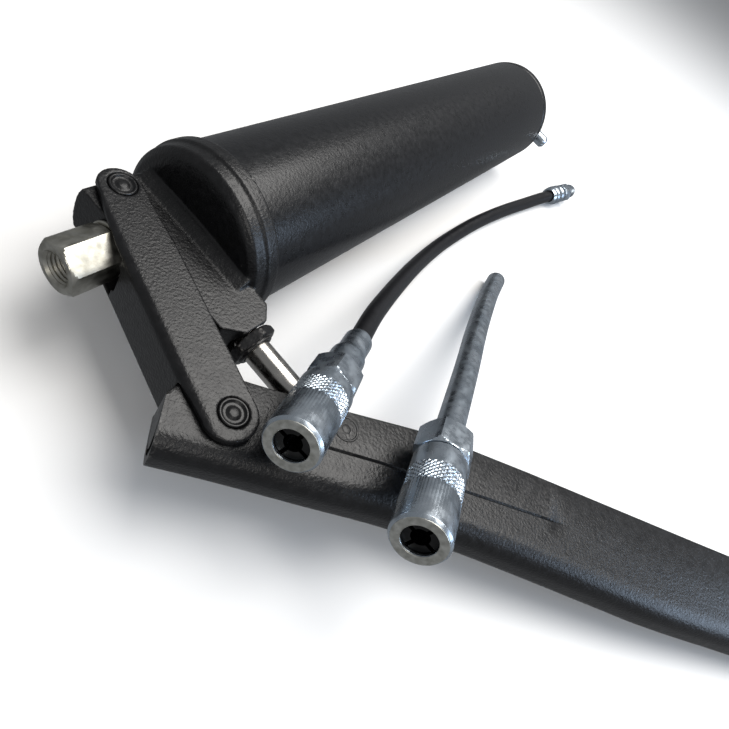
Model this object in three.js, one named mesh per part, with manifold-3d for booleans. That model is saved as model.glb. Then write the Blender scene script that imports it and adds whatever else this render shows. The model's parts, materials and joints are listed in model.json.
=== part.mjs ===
import * as THREE from 'three';
import Module from 'manifold-3d';
import { mergeVertices } from 'three/addons/utils/BufferGeometryUtils.js';

// Lever grease gun with a loose hose and a loose rigid pipe, lying on its side.
// Gun frame, millimetres: X runs from the head to the far end of the barrel,
// Y is the plunger's line (the plunger leaves the head towards -Y), Z is the line of the pins.

const wasm = await Module();
wasm.setup();

// ---- driving dimensions ----
const ROLL = 4.48;              // the gun rolls this far so that the lever's end meets the table
const BARREL_R = 28.5;
const BARREL_WALL = 1.1;
const BARREL_END = 268;
const RIM_R = 30.2;             // bell of the head, over the barrel
const RIM_X = 17.7;
const BELL_FACE_X = 6.5;
const HEAD_HALF = 8.1;          // half thickness of the head block
const OUTLET_Y = 6.6;
const OUTLET_X = -34.3;
const BORE_R = 4.95;
const PLUNGER_R = 4.6;
const PIN_A = [-6.1, 18.4];     // head to link
const PIN_B = [-27.1, -55.2];   // link to lever
const PIN_C = [0, -78.1];       // lever to plunger
const PIN_R = 3.2;
const LINK_IN = 8.65;
const LINK_OUT = 11.35;
const LEVER_OUT = 8.2;
const LEVER_WALL = 2.4;
const OPEN_PIVOT_R = 5.2;       // hidden hole in the lever that lets the link's pin shift
const COUPLER_R = 7.9;
const HOSE_R = 3.6;
const PIPE_R = 4.5;
const GAP = 0.3;

// ---- helpers ----
const toManifold = (geometry) => {
  const g = geometry.clone();
  g.deleteAttribute('normal');
  g.deleteAttribute('uv');
  const m = mergeVertices(g, 1e-4);
  const mesh = new wasm.Mesh({
    numProp: 3,
    vertProperties: new Float32Array(m.attributes.position.array),
    triVerts: new Uint32Array(m.index.array),
  });
  return new wasm.Manifold(mesh);
};

const toGeometry = (solid) => {
  const mesh = solid.getMesh();
  const g = new THREE.BufferGeometry();
  g.setAttribute('position', new THREE.BufferAttribute(new Float32Array(mesh.vertProperties), 3));
  g.setIndex(new THREE.BufferAttribute(new Uint32Array(mesh.triVerts), 1));
  const flat = g.toNonIndexed();
  flat.computeVertexNormals();
  return flat;
};

const place = (geometry, matrix) => {
  const g = geometry.clone();
  g.applyMatrix4(matrix);
  return g;
};

const at = (x, y, z) => new THREE.Matrix4().makeTranslation(x, y, z);
const turnX = (a) => new THREE.Matrix4().makeRotationX(a);
const turnZ = (a) => new THREE.Matrix4().makeRotationZ(a);

// a closed profile of [along, radius] points turned about the local Y axis
const turned = (profile, segments = 40) => {
  const points = profile.map(([a, r]) => new THREE.Vector2(r, a));
  points.push(points[0].clone());
  return toSolid(new THREE.LatheGeometry(points, segments));
};

const toSolid = (geometry) => {
  let solid = toManifold(geometry);
  if (solid.volume() < 0) {
    const g = geometry.index ? geometry.clone() : mergeVertices(geometry);
    const index = g.index.array;
    for (let i = 0; i < index.length; i += 3) {
      [index[i], index[i + 1]] = [index[i + 1], index[i]];
    }
    solid = toManifold(g);
  }
  return solid;
};

// the same, with "along" pointing down +X, or up +Z
const toX = (solid) => solid.rotate([0, 0, -90]);
const toZ = (solid) => solid.rotate([90, 0, 0]);
const turnedX = (profile, segments) => toX(turned(profile, segments));
const turnedY = (profile, segments) => turned(profile, segments);
const turnedZ = (profile, segments) => toZ(turned(profile, segments));

// an outline of [x, y] points pushed up from z0 to z1
const plate = (outline, z0, z1) => {
  const shape = new THREE.Shape(outline.map(([x, y]) => new THREE.Vector2(x, y)));
  const g = new THREE.ExtrudeGeometry(shape, { depth: z1 - z0, bevelEnabled: false, steps: 1 });
  return toSolid(g).translate([0, 0, z0]);
};

// points on an arc about [cx, cy], angles in degrees
const arc = (cx, cy, r, a0, a1, n) => {
  const points = [];
  for (let i = 0; i <= n; i += 1) {
    const a = ((a0 + ((a1 - a0) * i) / n) * Math.PI) / 180;
    points.push([cx + r * Math.cos(a), cy + r * Math.sin(a)]);
  }
  return points;
};

const rod = (r, a0, a1, segments = 28) => turned([[a0, 0], [a0, r], [a1, r], [a1, 0]], segments);
const ring = (rIn, rOut, a0, a1, segments = 40) => (
  turned([[a0, rIn], [a0, rOut], [a1, rOut], [a1, rIn]], segments)
);

// hexagonal prism along Y, corners bevelled at both ends; cornerAt in degrees about Y
const hexBody = (acrossFlats, a0, a1, cornerAt = 0) => {
  const r = acrossFlats / Math.sqrt(3);
  const prism = toSolid(new THREE.CylinderGeometry(r, r, a1 - a0, 6))
    .rotate([0, cornerAt, 0])
    .translate([0, (a0 + a1) / 2, 0]);
  const flat = acrossFlats / 2;
  const cone = turned([
    [a0, 0], [a0, flat * 0.97], [a0 + (r - flat * 0.97) * 0.6, r], [a1 - (r - flat * 0.97) * 0.6, r],
    [a1, flat * 0.97], [a1, 0],
  ], 30);
  return prism.intersect(cone);
};

// a section of [across, up] points swept along a path of [x, y, z] points
const swept = (section, path, steps) => {
  const shape = new THREE.Shape(section.map(([x, y]) => new THREE.Vector2(x, y)));
  const curve = new THREE.CatmullRomCurve3(path.map((p) => new THREE.Vector3(...p)), false, 'centripetal');
  return toSolid(new THREE.ExtrudeGeometry(shape, { steps, bevelEnabled: false, extrudePath: curve }));
};

const circle = (r, n) => arc(0, 0, r, 0, 360 - 360 / n, n - 1);

// wire wound along +Y from a0 to a1
const coil = (meanR, wireR, a0, a1, turns, perTurn, sides) => {
  const path = [];
  const count = turns * perTurn;
  for (let i = 0; i <= count; i += 1) {
    const a = (i / perTurn) * 2 * Math.PI;
    path.push([meanR * Math.cos(a), a0 + ((a1 - a0) * i) / count, meanR * Math.sin(a)]);
  }
  return swept(circle(wireR, sides), path, count);
};

const finishes = {
  black_casting: [0x1c1c20, 0.55, 0.1],
  black_tube: [0x18181c, 0.42, 0.15],
  black_pin: [0x101012, 0.4, 0.4],
  zinc: [0xb9c0c8, 0.35, 0.9],
  bright_steel: [0xd8d8d6, 0.2, 1.0],
  jaw_steel: [0x3c3c40, 0.4, 0.9],
  rubber: [0x0d0d0e, 0.75, 0.0],
  hose_plastic: [0x0b0b0d, 0.35, 0.0],
  spring_steel: [0x8c8e90, 0.35, 0.9],
};

const add = (parent, name, solid, finish) => {
  const [colour, roughness, metalness] = finishes[finish];
  const material = new THREE.MeshStandardMaterial({ color: colour, roughness, metalness });
  material.name = finish;
  const mesh = new THREE.Mesh(toGeometry(solid), material);
  mesh.name = name;
  parent.add(mesh);
  return mesh;
};

const group = new THREE.Group();
group.name = 'grease_gun';
const gun = new THREE.Group();
gun.name = 'gun';
gun.rotation.x = (ROLL * Math.PI) / 180;
gun.position.set(-120.9, 123.75, 30.19);
group.add(gun);

// ---- head: one casting, block in front and bell behind ----
const bell = turnedX([
  [7.3, 0], [7.3, 12], [BELL_FACE_X, 24.5], [7.1, 27.2], [8.6, 28.9], [10, 29.3], [12.4, 29.3],
  [13.2, RIM_R], [RIM_X, RIM_R], [RIM_X, BARREL_R + GAP], [9.6, BARREL_R + GAP], [9.6, 0],
], 60);
const blockPlan = [
  [-16, 26], [-16, -3], [-10.6, -24], [-10.6, -33.2], [-4.6, -38.4], [4.2, -38.4], [8.8, -34],
  [8.8, 20], [8.8, 26],
];
const blockEnd = arc(0, 6.6, 18.2, 26, 154, 14).map(([x, y]) => [x, y]);
const block = plate(blockPlan, -HEAD_HALF, HEAD_HALF).intersect(
  plate([[-HEAD_HALF, -50], [HEAD_HALF, -50], ...blockEnd.map(([z, y]) => [Math.max(-HEAD_HALF, Math.min(HEAD_HALF, z)), y])], -20, 20)
    .rotate([0, 90, 0]),
);
const flare = plate([[2.5, 20], [6.9, 26], [6.9, -24], [2.5, -20]], -11, 11);
const flareCut = plate([[-9, 0], [3, 8.1], [7.2, 11.2], [7.2, 20], [-9, 20]], -40, 40).rotate([90, 0, 0]);
const flareTrim = flare.subtract(flareCut).subtract(flareCut.mirror([0, 0, 1]));
const barrelBore = rod(BORE_R, -60, OUTLET_Y + BORE_R, 32);
const outletHole = toX(rod(5.0, -30, 0, 28)).translate([0, OUTLET_Y, 0]);
const inlet = toX(rod(3.5, 0, 12, 20)).translate([0, -17, 0]);
const pinHoleA = toZ(rod(PIN_R + GAP, -20, 20, 24)).translate([PIN_A[0], PIN_A[1], 0]);
const glandSocket = rod(6.6, -45, -31.5, 28);
const head = bell.add(block).add(flareTrim)
  .subtract(barrelBore).subtract(outletHole).subtract(inlet).subtract(pinHoleA).subtract(glandSocket);
add(gun, 'head_casting', head, 'black_casting');

// ---- barrel, its gasket and the closed far end ----
add(gun, 'barrel_gasket', toX(ring(23.5, 28.3, 9.9, 11.4, 40)), 'rubber');
add(gun, 'barrel_tube', toX(ring(BARREL_R - BARREL_WALL, BARREL_R, 11.7, BARREL_END, 60)), 'black_tube');
add(gun, 'barrel_end_cap', turnedX([
  [BARREL_END - 7, 24.5], [BARREL_END - 7, 27.1], [BARREL_END + GAP, 27.1], [BARREL_END + GAP, BARREL_R],
  [BARREL_END + 5.4, BARREL_R], [BARREL_END + 6.7, BARREL_R - 1.4], [BARREL_END + 6.7, 22],
  [BARREL_END + 4.6, 20.5], [BARREL_END + 4.6, 3.6], [BARREL_END + 1.6, 3.6], [BARREL_END + 1.6, 24.5],
], 44), 'black_tube');

// ---- outlet: hexagonal socket, washer, check ball and its spring ----
const outlet = new THREE.Group();
outlet.name = 'outlet';
outlet.position.set(0, OUTLET_Y, 0);
gun.add(outlet);
const socketBore = turned([
  [OUTLET_X - 1, 0], [OUTLET_X - 1, 5.6], [OUTLET_X + 0.9, 4.75], [-22, 4.75], [-21, 2.2], [-15, 2.2],
  [-15, 3.7], [-5, 3.7], [-5, 0],
], 32);
const socket = hexBody(15.2, OUTLET_X, -17.6, 30).add(rod(4.6, -18, -9, 28)).subtract(socketBore);
add(outlet, 'outlet_socket', toX(socket), 'zinc');
add(outlet, 'outlet_washer', toX(ring(5.2, 8.6, -17.4, -16.2, 36)), 'zinc');
add(outlet, 'check_ball', toSolid(new THREE.SphereGeometry(3.0, 16, 10)).translate([-5.4, 0, 0]), 'spring_steel');
add(outlet, 'check_spring', toX(coil(2.9, 0.4, -14.2, -9.0, 4, 10, 5)), 'spring_steel');

// ---- packing gland where the plunger comes out ----
const gland = hexBody(14.8, -42, -38.7, 30)
  .add(rod(6.2, -38.8, -33.8, 28))
  .add(rod(6.1, -42.8, -41.9, 28))
  .subtract(rod(PLUNGER_R + GAP, -50, -20, 32));
add(gun, 'gland_nut', gland, 'black_casting');
add(gun, 'plunger_seal', ring(PLUNGER_R + GAP, 6.2, -33.5, -31.8, 32), 'rubber');

// ---- follower inside the barrel, its rod, handle and spring ----
const follower = new THREE.Group();
follower.name = 'follower';
gun.add(follower);
add(follower, 'follower_rod', toX(rod(3.2, 38, 287.2, 24)), 'bright_steel');
add(follower, 'follower_front_plate', toX(ring(3.5, 22, 42, 43.6, 28)), 'zinc');
add(follower, 'follower_cup', turnedX([
  [44, 3.5], [44, 24], [41, 26.2], [41, 27.1], [45, 27.1], [50, 26.8], [50, 25.6], [46.5, 24.6], [46.5, 3.5],
], 36), 'rubber');
add(follower, 'follower_back_plate', toX(ring(3.5, 23, 47, 48.6, 28)), 'zinc');
add(follower, 'follower_nut', toX(hexBody(10, 38.2, 41.7, 0).subtract(rod(3.5, 30, 50, 20))), 'zinc');
const handleBore = toX(rod(3.5, 270, 287.5, 24));
const handleBar = turnedY([
  [-33, 0], [-33, 2.6], [-31.8, 3.7], [-6, 4.0], [6, 4.0], [31.8, 3.7], [33, 2.6], [33, 0],
], 28).translate([288, 0, 0]);
const handleHub = turnedX([[281.5, 0], [281.5, 5.4], [283, 6.2], [291, 6.2], [292.4, 4.8], [292.4, 0]], 28);
add(follower, 'follower_handle', handleBar.add(handleHub).subtract(handleBore), 'zinc');
add(gun, 'follower_spring', toX(coil(18, 1.1, 50.5, 267, 14, 8, 4)), 'spring_steel');

// ---- plunger, flattened and drilled at the lever ----
const plungerRod = turnedY([
  [-86.5, 0], [-86.5, 4.0], [-86, PLUNGER_R], [-26.8, PLUNGER_R], [-26, 4.0], [-26, 0],
], 32);
const eyeFlat = plate([[-6, -90], [6, -90], [6, -69], [-6, -69]], 3.9, 8);
const eyeHole = toZ(rod(PIN_R + 0.2, -10, 10, 24)).translate([0, PIN_C[1], 0]);
const eyeBoss = toZ(rod(6.4, -3.9, 3.9, 28)).translate([0, PIN_C[1], 0]);
const plunger = plungerRod.subtract(eyeFlat).subtract(eyeFlat.mirror([0, 0, 1])).add(eyeBoss)
  .subtract(eyeHole);
add(gun, 'plunger', plunger, 'bright_steel');

// ---- lever: a channel bent from sheet, its back rounded, its open side towards the barrel ----
const leverPath = [
  [-51.6, -46.4, 0], [-37.2, -64.4, 0], [-20.7, -86.1, 0], [-5.9, -105.4, 0], [9.3, -127.6, 0], [18.7, -142.7, 0],
  [40.6, -179.2, 0], [52.1, -198.3, 0], [80.7, -240.9, 0], [114.3, -291.2, 0],
];
const half = LEVER_OUT;
const channel = (inset) => {
  const h = half - inset;
  const r = 6.6 - inset;
  return [
    [-h, 46], [-h, inset + r], ...arc(-h + r, inset + r, r, 180, 270, 6).slice(1),
    ...arc(h - r, inset + r, r, 270, 360, 6), [h, 46],
  ];
};
const leverOutline = [
  [-52.2, -53.3], [-37.6, -40.6], [-33.8, -40.2], [-28.5, -41.2], [-17.5, -47.4], [-12.1, -54.0], [5.7, -75.2],
  [21.0, -92.4], [25.5, -97.8], [29.4, -103.3], [48.2, -130.6], [92.2, -196.8], [134, -259.3],
  ...arc(122, -266.3, 13.9, 28, -58, 8), ...arc(119.5, -270, 13.5, -62, -146, 8),
  [100, -291], [10, -170], [-30, -110], [-70, -70],
];
const leverOuter = swept(channel(0), leverPath, 18);
const leverInner = swept(channel(LEVER_WALL), leverPath, 18);
const leverPlan = plate(leverOutline, -30, 30);
const pinHole = (x, y, r) => toZ(rod(r, -30, 30, 28)).translate([x, y, 0]);
const counterbore = (x, y, z) => toZ(rod(4.45, z - 0.85, z + 2, 28)).translate([x, y, 0]);
// the near end is cut a few degrees off square
const slantCut = plate([[-20, 30], [-20, -30], [3, -30], [-1.7, 30]], -60, 60)
  .rotate([90, 0, 0]).rotate([0, 0, -49]).translate([-48.5, -50.1, 0]);
const lever = leverOuter.subtract(leverInner).intersect(leverPlan).subtract(slantCut)
  .subtract(pinHole(PIN_B[0], PIN_B[1], OPEN_PIVOT_R))
  .subtract(pinHole(PIN_C[0], PIN_C[1], PIN_R + GAP))
  .subtract(counterbore(PIN_C[0], PIN_C[1], LEVER_OUT))
  .subtract(counterbore(PIN_C[0], PIN_C[1], LEVER_OUT).mirror([0, 0, 1]));
add(gun, 'lever', lever, 'black_casting');

// ---- link: two straps joined by a web along their middle ----
const linkDir = Math.atan2(PIN_B[1] - PIN_A[1], PIN_B[0] - PIN_A[0]);
const linkLength = Math.hypot(PIN_B[0] - PIN_A[0], PIN_B[1] - PIN_A[1]);
const linkPlan = [
  ...arc(0.6, 0, 7.0, 240, 90, 14).map(([a, p]) => [a, p * 0.98 - 0.9]),
  [8, 6.0], [22, 6.9], [60, 7.0],
  ...arc(linkLength, -0.8, 7.9, 80, -98, 16), [70, -8.9], [64, -9.4], [22, -9.4], [10, -8.5],
];
// along the link, with the web on the minus side
const strapBody = plate(linkPlan, -LINK_OUT, LINK_OUT);
const webSection = [
  [12, -LINK_OUT], [12, LINK_OUT], ...arc(-6.4, LINK_OUT - 3, 3, 90, 180, 6), ...arc(-6.4, -LINK_OUT + 3, 3, 180, 270, 6),
];
const webRound = plate(webSection, -20, 100).rotate([90, 0, 0]).rotate([0, 0, 90]);
const slot = plate([[-30, -6.7], [120, -6.7], [120, 30], [-30, 30]], -LINK_IN, LINK_IN);
const webTopCut = plate([[-30, -20], [23.5, -20], [25, -6], [-30, 10]], -LINK_IN, LINK_IN);
const webEndCut = plate([[63.5, -20], [120, -20], [120, 10], [63.5, 10]], -LINK_IN, LINK_IN);
const linkHole = (along, r) => toZ(rod(r, -30, 30, 28)).translate([along, 0, 0]);
const linkRecess = (along) => toZ(rod(4.45, LINK_OUT - 0.85, 20, 28)).translate([along, 0, 0]);
let link = strapBody.intersect(webRound).subtract(slot).subtract(webTopCut).subtract(webEndCut);
// the web's top edge is relieved so that it swings clear of the outlet
const outletRoom = toX(hexBody(16.2, -44, -12, 30)).translate([0, OUTLET_Y, 0]);
const backToLink = (solid, swing) => solid.translate([-PIN_A[0], -PIN_A[1], 0])
  .rotate([0, 0, swing - (linkDir * 180) / Math.PI]);
[0, 2.7, 5.4, 8.1].forEach((swing) => {
  link = link.subtract(backToLink(outletRoom, swing));
});
[0, linkLength].forEach((along) => {
  link = link.subtract(linkHole(along, PIN_R + GAP))
    .subtract(linkRecess(along))
    .subtract(linkRecess(along).mirror([0, 0, 1]));
});
link = link.rotate([0, 0, (linkDir * 180) / Math.PI]).translate([PIN_A[0], PIN_A[1], 0]);
add(gun, 'link', link, 'black_casting');

// ---- the three pins: headed both ends, dished round a small raised centre ----
const pinSolid = (x, y, outer) => toZ(turned([
  [-outer - 0.15, 0], [-outer - 0.15, 1.2], [-outer + 0.3, 2.1], [-outer + 0.3, 3.3], [-outer - 0.1, 3.7],
  [-outer - 0.1, 4.15], [-outer + 0.55, 4.15], [-outer + 0.55, PIN_R], [outer - 0.55, PIN_R], [outer - 0.55, 4.15],
  [outer + 0.1, 4.15], [outer + 0.1, 3.7], [outer - 0.3, 3.3], [outer - 0.3, 2.1], [outer + 0.15, 1.2], [outer + 0.15, 0],
], 20)).translate([x, y, 0]);
add(gun, 'link_head_pin', pinSolid(PIN_A[0], PIN_A[1], LINK_OUT), 'black_pin');
add(gun, 'link_lever_pin', pinSolid(PIN_B[0], PIN_B[1], LINK_OUT), 'black_pin');
add(gun, 'plunger_pin', pinSolid(PIN_C[0], PIN_C[1], LEVER_OUT), 'black_pin');

// ---- jaw couplers: mouth at the local origin, body towards local +Y ----
const coupler = (parent, prefix, hex) => {
  const end = hex.from - 0.3;
  add(parent, `${prefix}_coupler_sleeve`, turned([
    [0, 4.7], [0, 7.35], [1.05, COUPLER_R], [end - 0.7, COUPLER_R], [end, 7.4], [end, 6.5], [11.5, 6.5], [11.5, 5.3],
    [1.2, 5.3], [1.2, 4.7],
  ], 32), 'zinc');
  const nose = rod(6.15, 16, hex.from + 0.5, 28).subtract(rod(1.8, 10, 40, 16));
  const tailBore = rod(hex.bore, hex.to - 4, 60, 24);
  const body = hexBody(hex.across, hex.from, hex.to, hex.cornerAt).add(nose)
    .subtract(rod(1.8, 10, hex.to, 16)).subtract(tailBore);
  add(parent, `${prefix}_coupler_body`, body, 'zinc');
  const jawRing = turned([[1.5, 2.5], [1.5, 5.0], [11, 5.0], [11, 3.9], [8, 3.2], [4.5, 3.2]], 28);
  for (let i = 0; i < 4; i += 1) {
    const wedge = plate([[0.55, 0.55], [12, 0.55], [12, 12], [0.55, 12]], -20, 20)
      .rotate([90, 0, 0])
      .rotate([0, i * 90 + 20, 0]);
    add(parent, `${prefix}_coupler_jaw_${i + 1}`, jawRing.intersect(wedge), 'jaw_steel');
  }
  add(parent, `${prefix}_coupler_seal`, ring(1.6, 6.0, 11.9, 12.9, 28), 'rubber');
  add(parent, `${prefix}_coupler_spring`, coil(5.6, 0.35, 13.5, 15.4, 2, 10, 5), 'spring_steel');
};

// ---- the hose: lies across the lever and runs down to the table ----
const towards = (from, to) => {
  const d = new THREE.Vector3(...to).sub(new THREE.Vector3(...from)).normalize();
  return new THREE.Quaternion().setFromUnitVectors(new THREE.Vector3(0, 1, 0), d);
};
const HOSE_MOUTH = [-30.4, -71.2, 25.45];
const HOSE_TAIL = [11.13, -63.34, 13.23];
const hoseSet = new THREE.Group();
hoseSet.name = 'hose_set';
gun.add(hoseSet);
const hoseHead = new THREE.Group();
hoseHead.name = 'hose_head';
hoseHead.position.set(...HOSE_MOUTH);
hoseHead.quaternion.copy(towards(HOSE_MOUTH, HOSE_TAIL));
hoseSet.add(hoseHead);
coupler(hoseHead, 'hose', { across: 14.4, from: 27.3, to: 37.6, cornerAt: 55.6, bore: 4.2 });
const hoseAxis = new THREE.Vector3(...HOSE_TAIL).sub(new THREE.Vector3(...HOSE_MOUTH)).normalize();
const onHoseAxis = (s) => new THREE.Vector3(...HOSE_MOUTH).addScaledVector(hoseAxis, s).toArray();
add(hoseHead, 'hose_ferrule', turned([
  [37.9, HOSE_R + GAP], [37.9, 5.9], [47.8, 5.9], [48.6, 5.3], [49, 4.9], [60.6, 4.9], [62, HOSE_R + GAP + 0.3],
  [62, HOSE_R + GAP],
], 28), 'zinc');
const hoseRoute = [
  onHoseAxis(34.5), onHoseAxis(48), onHoseAxis(60), [48.1, -55.8, 2.5], [70.3, -52.4, -4.1], [87, -50.2, -8.9],
  [105.4, -48, -13.6], [121.1, -46.5, -17.2], [136.3, -45.4, -19.9], [151, -44.8, -21.5], [165.8, -44.8, -22.2],
  [192.2, -45.9, -22.2], [223.9, -49.2, -22.0], [254, -53.9, -21.5], [272, -57.2, -20.4], [284, -59.9, -19.3],
  [296, -62.6, -18.6],
];
add(hoseSet, 'hose_tube', swept(circle(HOSE_R, 10), hoseRoute, 42), 'hose_plastic');
const hoseEnd = new THREE.Group();
hoseEnd.name = 'hose_end';
hoseEnd.position.set(284, -59.9, -19.3);
hoseEnd.quaternion.copy(towards([284, -59.9, -19.3], [296, -62.6, -18.6]));
hoseSet.add(hoseEnd);
add(hoseEnd, 'hose_end_ferrule', turned([
  [-1, HOSE_R + GAP + 0.2], [-1, HOSE_R + GAP + 0.6], [0, 5.4], [3, 5.4], [3.6, 5.9], [9, 5.9], [9.6, 5.4],
  [12, 5.4], [12.6, 5.0], [12.6, HOSE_R + GAP + 0.2],
], 28), 'zinc');
add(hoseEnd, 'hose_end_fitting', hexBody(11, 13.2, 20, 0).add(rod(4.5, 19.9, 29, 24)).subtract(rod(1.8, 0, 40, 16)), 'zinc');

// ---- the rigid pipe: its coupler tips up over the lever's back, its tail is on the table ----
const PIPE_MOUTH = [-21.98, -107.54, 28.11];
const PIPE_TAIL = [19.93, -99.93, 17.07];
const pipeSet = new THREE.Group();
pipeSet.name = 'pipe_set';
gun.add(pipeSet);
const pipeHead = new THREE.Group();
pipeHead.name = 'pipe_head';
pipeHead.position.set(...PIPE_MOUTH);
pipeHead.quaternion.copy(towards(PIPE_MOUTH, PIPE_TAIL));
pipeSet.add(pipeHead);
coupler(pipeHead, 'pipe', { across: 15.6, from: 30.9, to: 42.4, cornerAt: 30.4, bore: 4.8 });
const pipeAxis = new THREE.Vector3(...PIPE_TAIL).sub(new THREE.Vector3(...PIPE_MOUTH)).normalize();
const onPipeAxis = (s) => new THREE.Vector3(...PIPE_MOUTH).addScaledVector(pipeAxis, s).toArray();
const pipeRoute = [
  onPipeAxis(39), onPipeAxis(48), [47.1, -95.3, 9.9], [66.5, -91.9, 4.8], [85.7, -88.3, -0.3], [104.4, -85.1, -5.3],
  [123.4, -82.1, -10.1], [141.9, -79.5, -14.8], [163.2, -77.2, -19.75],
];
const pipeBore = swept(circle(2.2, 8), pipeRoute, 18);
const pipeOuter = swept(circle(PIPE_R, 14), pipeRoute, 18);
add(pipeSet, 'pipe_tube', pipeOuter.subtract(pipeBore), 'zinc');

export default group;
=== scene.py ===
# %% [markdown]
# # A lever grease gun
# The gun is a tube of grease with a pump on its front. A long lever drives a steel plunger into the
# head, and a swinging link lets the lever's end move as the plunger goes in. A loose hose and a loose
# rigid pipe lie across the lever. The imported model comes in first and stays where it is: everything
# made here is laid over it, in metres.

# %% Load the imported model
import json
import math
import bpy
import bmesh
from mathutils import Matrix, Vector


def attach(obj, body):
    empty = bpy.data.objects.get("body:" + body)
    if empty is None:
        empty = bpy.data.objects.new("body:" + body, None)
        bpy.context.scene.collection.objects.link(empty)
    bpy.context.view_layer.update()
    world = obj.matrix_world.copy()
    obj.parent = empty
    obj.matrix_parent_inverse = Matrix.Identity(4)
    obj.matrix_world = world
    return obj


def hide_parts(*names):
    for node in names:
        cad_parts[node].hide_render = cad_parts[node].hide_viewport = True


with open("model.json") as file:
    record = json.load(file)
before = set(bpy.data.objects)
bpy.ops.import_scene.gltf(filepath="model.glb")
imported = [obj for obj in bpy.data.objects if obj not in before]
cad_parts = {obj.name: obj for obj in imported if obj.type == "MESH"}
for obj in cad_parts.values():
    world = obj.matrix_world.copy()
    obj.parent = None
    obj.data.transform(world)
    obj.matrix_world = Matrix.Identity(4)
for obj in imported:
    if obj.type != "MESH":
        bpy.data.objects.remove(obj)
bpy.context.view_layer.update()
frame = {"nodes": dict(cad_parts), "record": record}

# %% [markdown]
# ## The gun's own directions
# It is easiest to model the gun as its maker draws it: X along the barrel, Y along the plunger and Z
# along the pins. One matrix then rolls that drawing 4.48 degrees, so that the lever's end touches the
# table, and moves it into place.

# %% The gun's frame
MM = 0.001
gun = Matrix.Translation(Vector((-120.9, 123.75, 30.19)) * MM) @ Matrix.Rotation(math.radians(4.48), 4, "X")
PIN_A = Vector((-6.1, 18.4, 0))
PIN_B = Vector((-27.1, -55.2, 0))
PIN_C = Vector((0, -78.1, 0))
ALONG_X = Matrix.Rotation(math.radians(90), 4, "Y")
ALONG_Y = Matrix.Rotation(math.radians(-90), 4, "X")
# For an outline drawn in the gun's Y and Z, which is then pulled along X.
DRAWN_FACING_X = Matrix(((0, 0, 1, 0), (1, 0, 0, 0), (0, 1, 0, 0), (0, 0, 0, 1)))


def moved(x, y, z):
    """A shift in millimetres, as a matrix in metres."""
    return Matrix.Translation(Vector((x, y, z)) * MM)


def world_point(p):
    """A point of the gun's drawing, in millimetres, as a world point in metres."""
    return tuple(gun @ (Vector(p) * MM))


print("link pin at", [round(c, 4) for c in world_point(PIN_A)])

# %% [markdown]
# ## Camera
# The camera stands in front of the head, above the lever, and looks down along the barrel. Its lens is
# close to the gun, so the barrel narrows strongly. The small shift keeps the gun where it should be in
# the square picture.

# %% Camera
CAMERA_RIGHT = (0.58335, -0.65474, 0.48064)
CAMERA_DOWN = (-0.42584, -0.75045, -0.50545)
CAMERA_LOOK = (0.69164, 0.09018, -0.71659)
CAMERA_PLACE = (-107.94, -70.44, 139.20)
camera_data = bpy.data.cameras.new("camera")
camera_data.sensor_width = 36.0
camera_data.lens = 28.708
camera_data.shift_x = 0.04854
camera_data.shift_y = -0.03513
camera_data.clip_start = 0.01
camera = bpy.data.objects.new("camera", camera_data)
bpy.context.scene.collection.objects.link(camera)
turn = Matrix((CAMERA_RIGHT, [-c for c in CAMERA_DOWN], [-c for c in CAMERA_LOOK])).transposed().to_4x4()
camera.matrix_world = gun @ moved(*CAMERA_PLACE) @ turn
bpy.context.scene.camera = camera
print("camera height above the table", round(camera.matrix_world.translation.z, 3), "m")

# %% [markdown]
# ## Helpers for turned parts
# Most of a grease gun comes off a lathe, so one helper spins a profile round an axis. A profile is a
# list of (distance along, radius) in millimetres, and a corner can be given a small radius, because a
# real turned edge always catches a thin line of light.

# %% Turning and outlines
def eased(points, closed=False):
    """Rounds each corner of an outline: a point may be (a, b) or (a, b, radius)."""
    out = []
    n = len(points)
    for i, p in enumerate(points):
        here = Vector((p[0], p[1]))
        r = p[2] if len(p) > 2 else 0
        if r <= 0 or (not closed and i in (0, n - 1)):
            out.append((here.x, here.y))
            continue
        before = Vector(points[i - 1][:2])
        after = Vector(points[(i + 1) % n][:2])
        d0 = (before - here)
        d1 = (after - here)
        angle = d0.angle(d1)
        reach = min(r / math.tan(angle / 2), d0.length * 0.49, d1.length * 0.49)
        a = here + d0.normalized() * reach
        b = here + d1.normalized() * reach
        steps = 4
        for k in range(steps + 1):
            t = k / steps
            q = a * (1 - t) ** 2 + here * 2 * t * (1 - t) + b * t ** 2
            out.append((q.x, q.y))
    return out


def new_piece(name, verts, faces, place, edge_angle=32):
    """A mesh piece from points in millimetres, smooth except across sharp edges."""
    mesh = bpy.data.meshes.new(name)
    mesh.from_pydata([tuple(Vector(v) * MM) for v in verts], [], faces)
    work = bmesh.new()
    work.from_mesh(mesh)
    bmesh.ops.remove_doubles(work, verts=work.verts, dist=1e-7)
    bmesh.ops.recalc_face_normals(work, faces=work.faces)
    work.to_mesh(mesh)
    work.free()
    mesh.shade_smooth()
    mesh.set_sharp_from_angle(angle=math.radians(edge_angle))
    piece = bpy.data.objects.new(name, mesh)
    bpy.context.scene.collection.objects.link(piece)
    piece.matrix_world = gun @ place
    return piece


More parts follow.
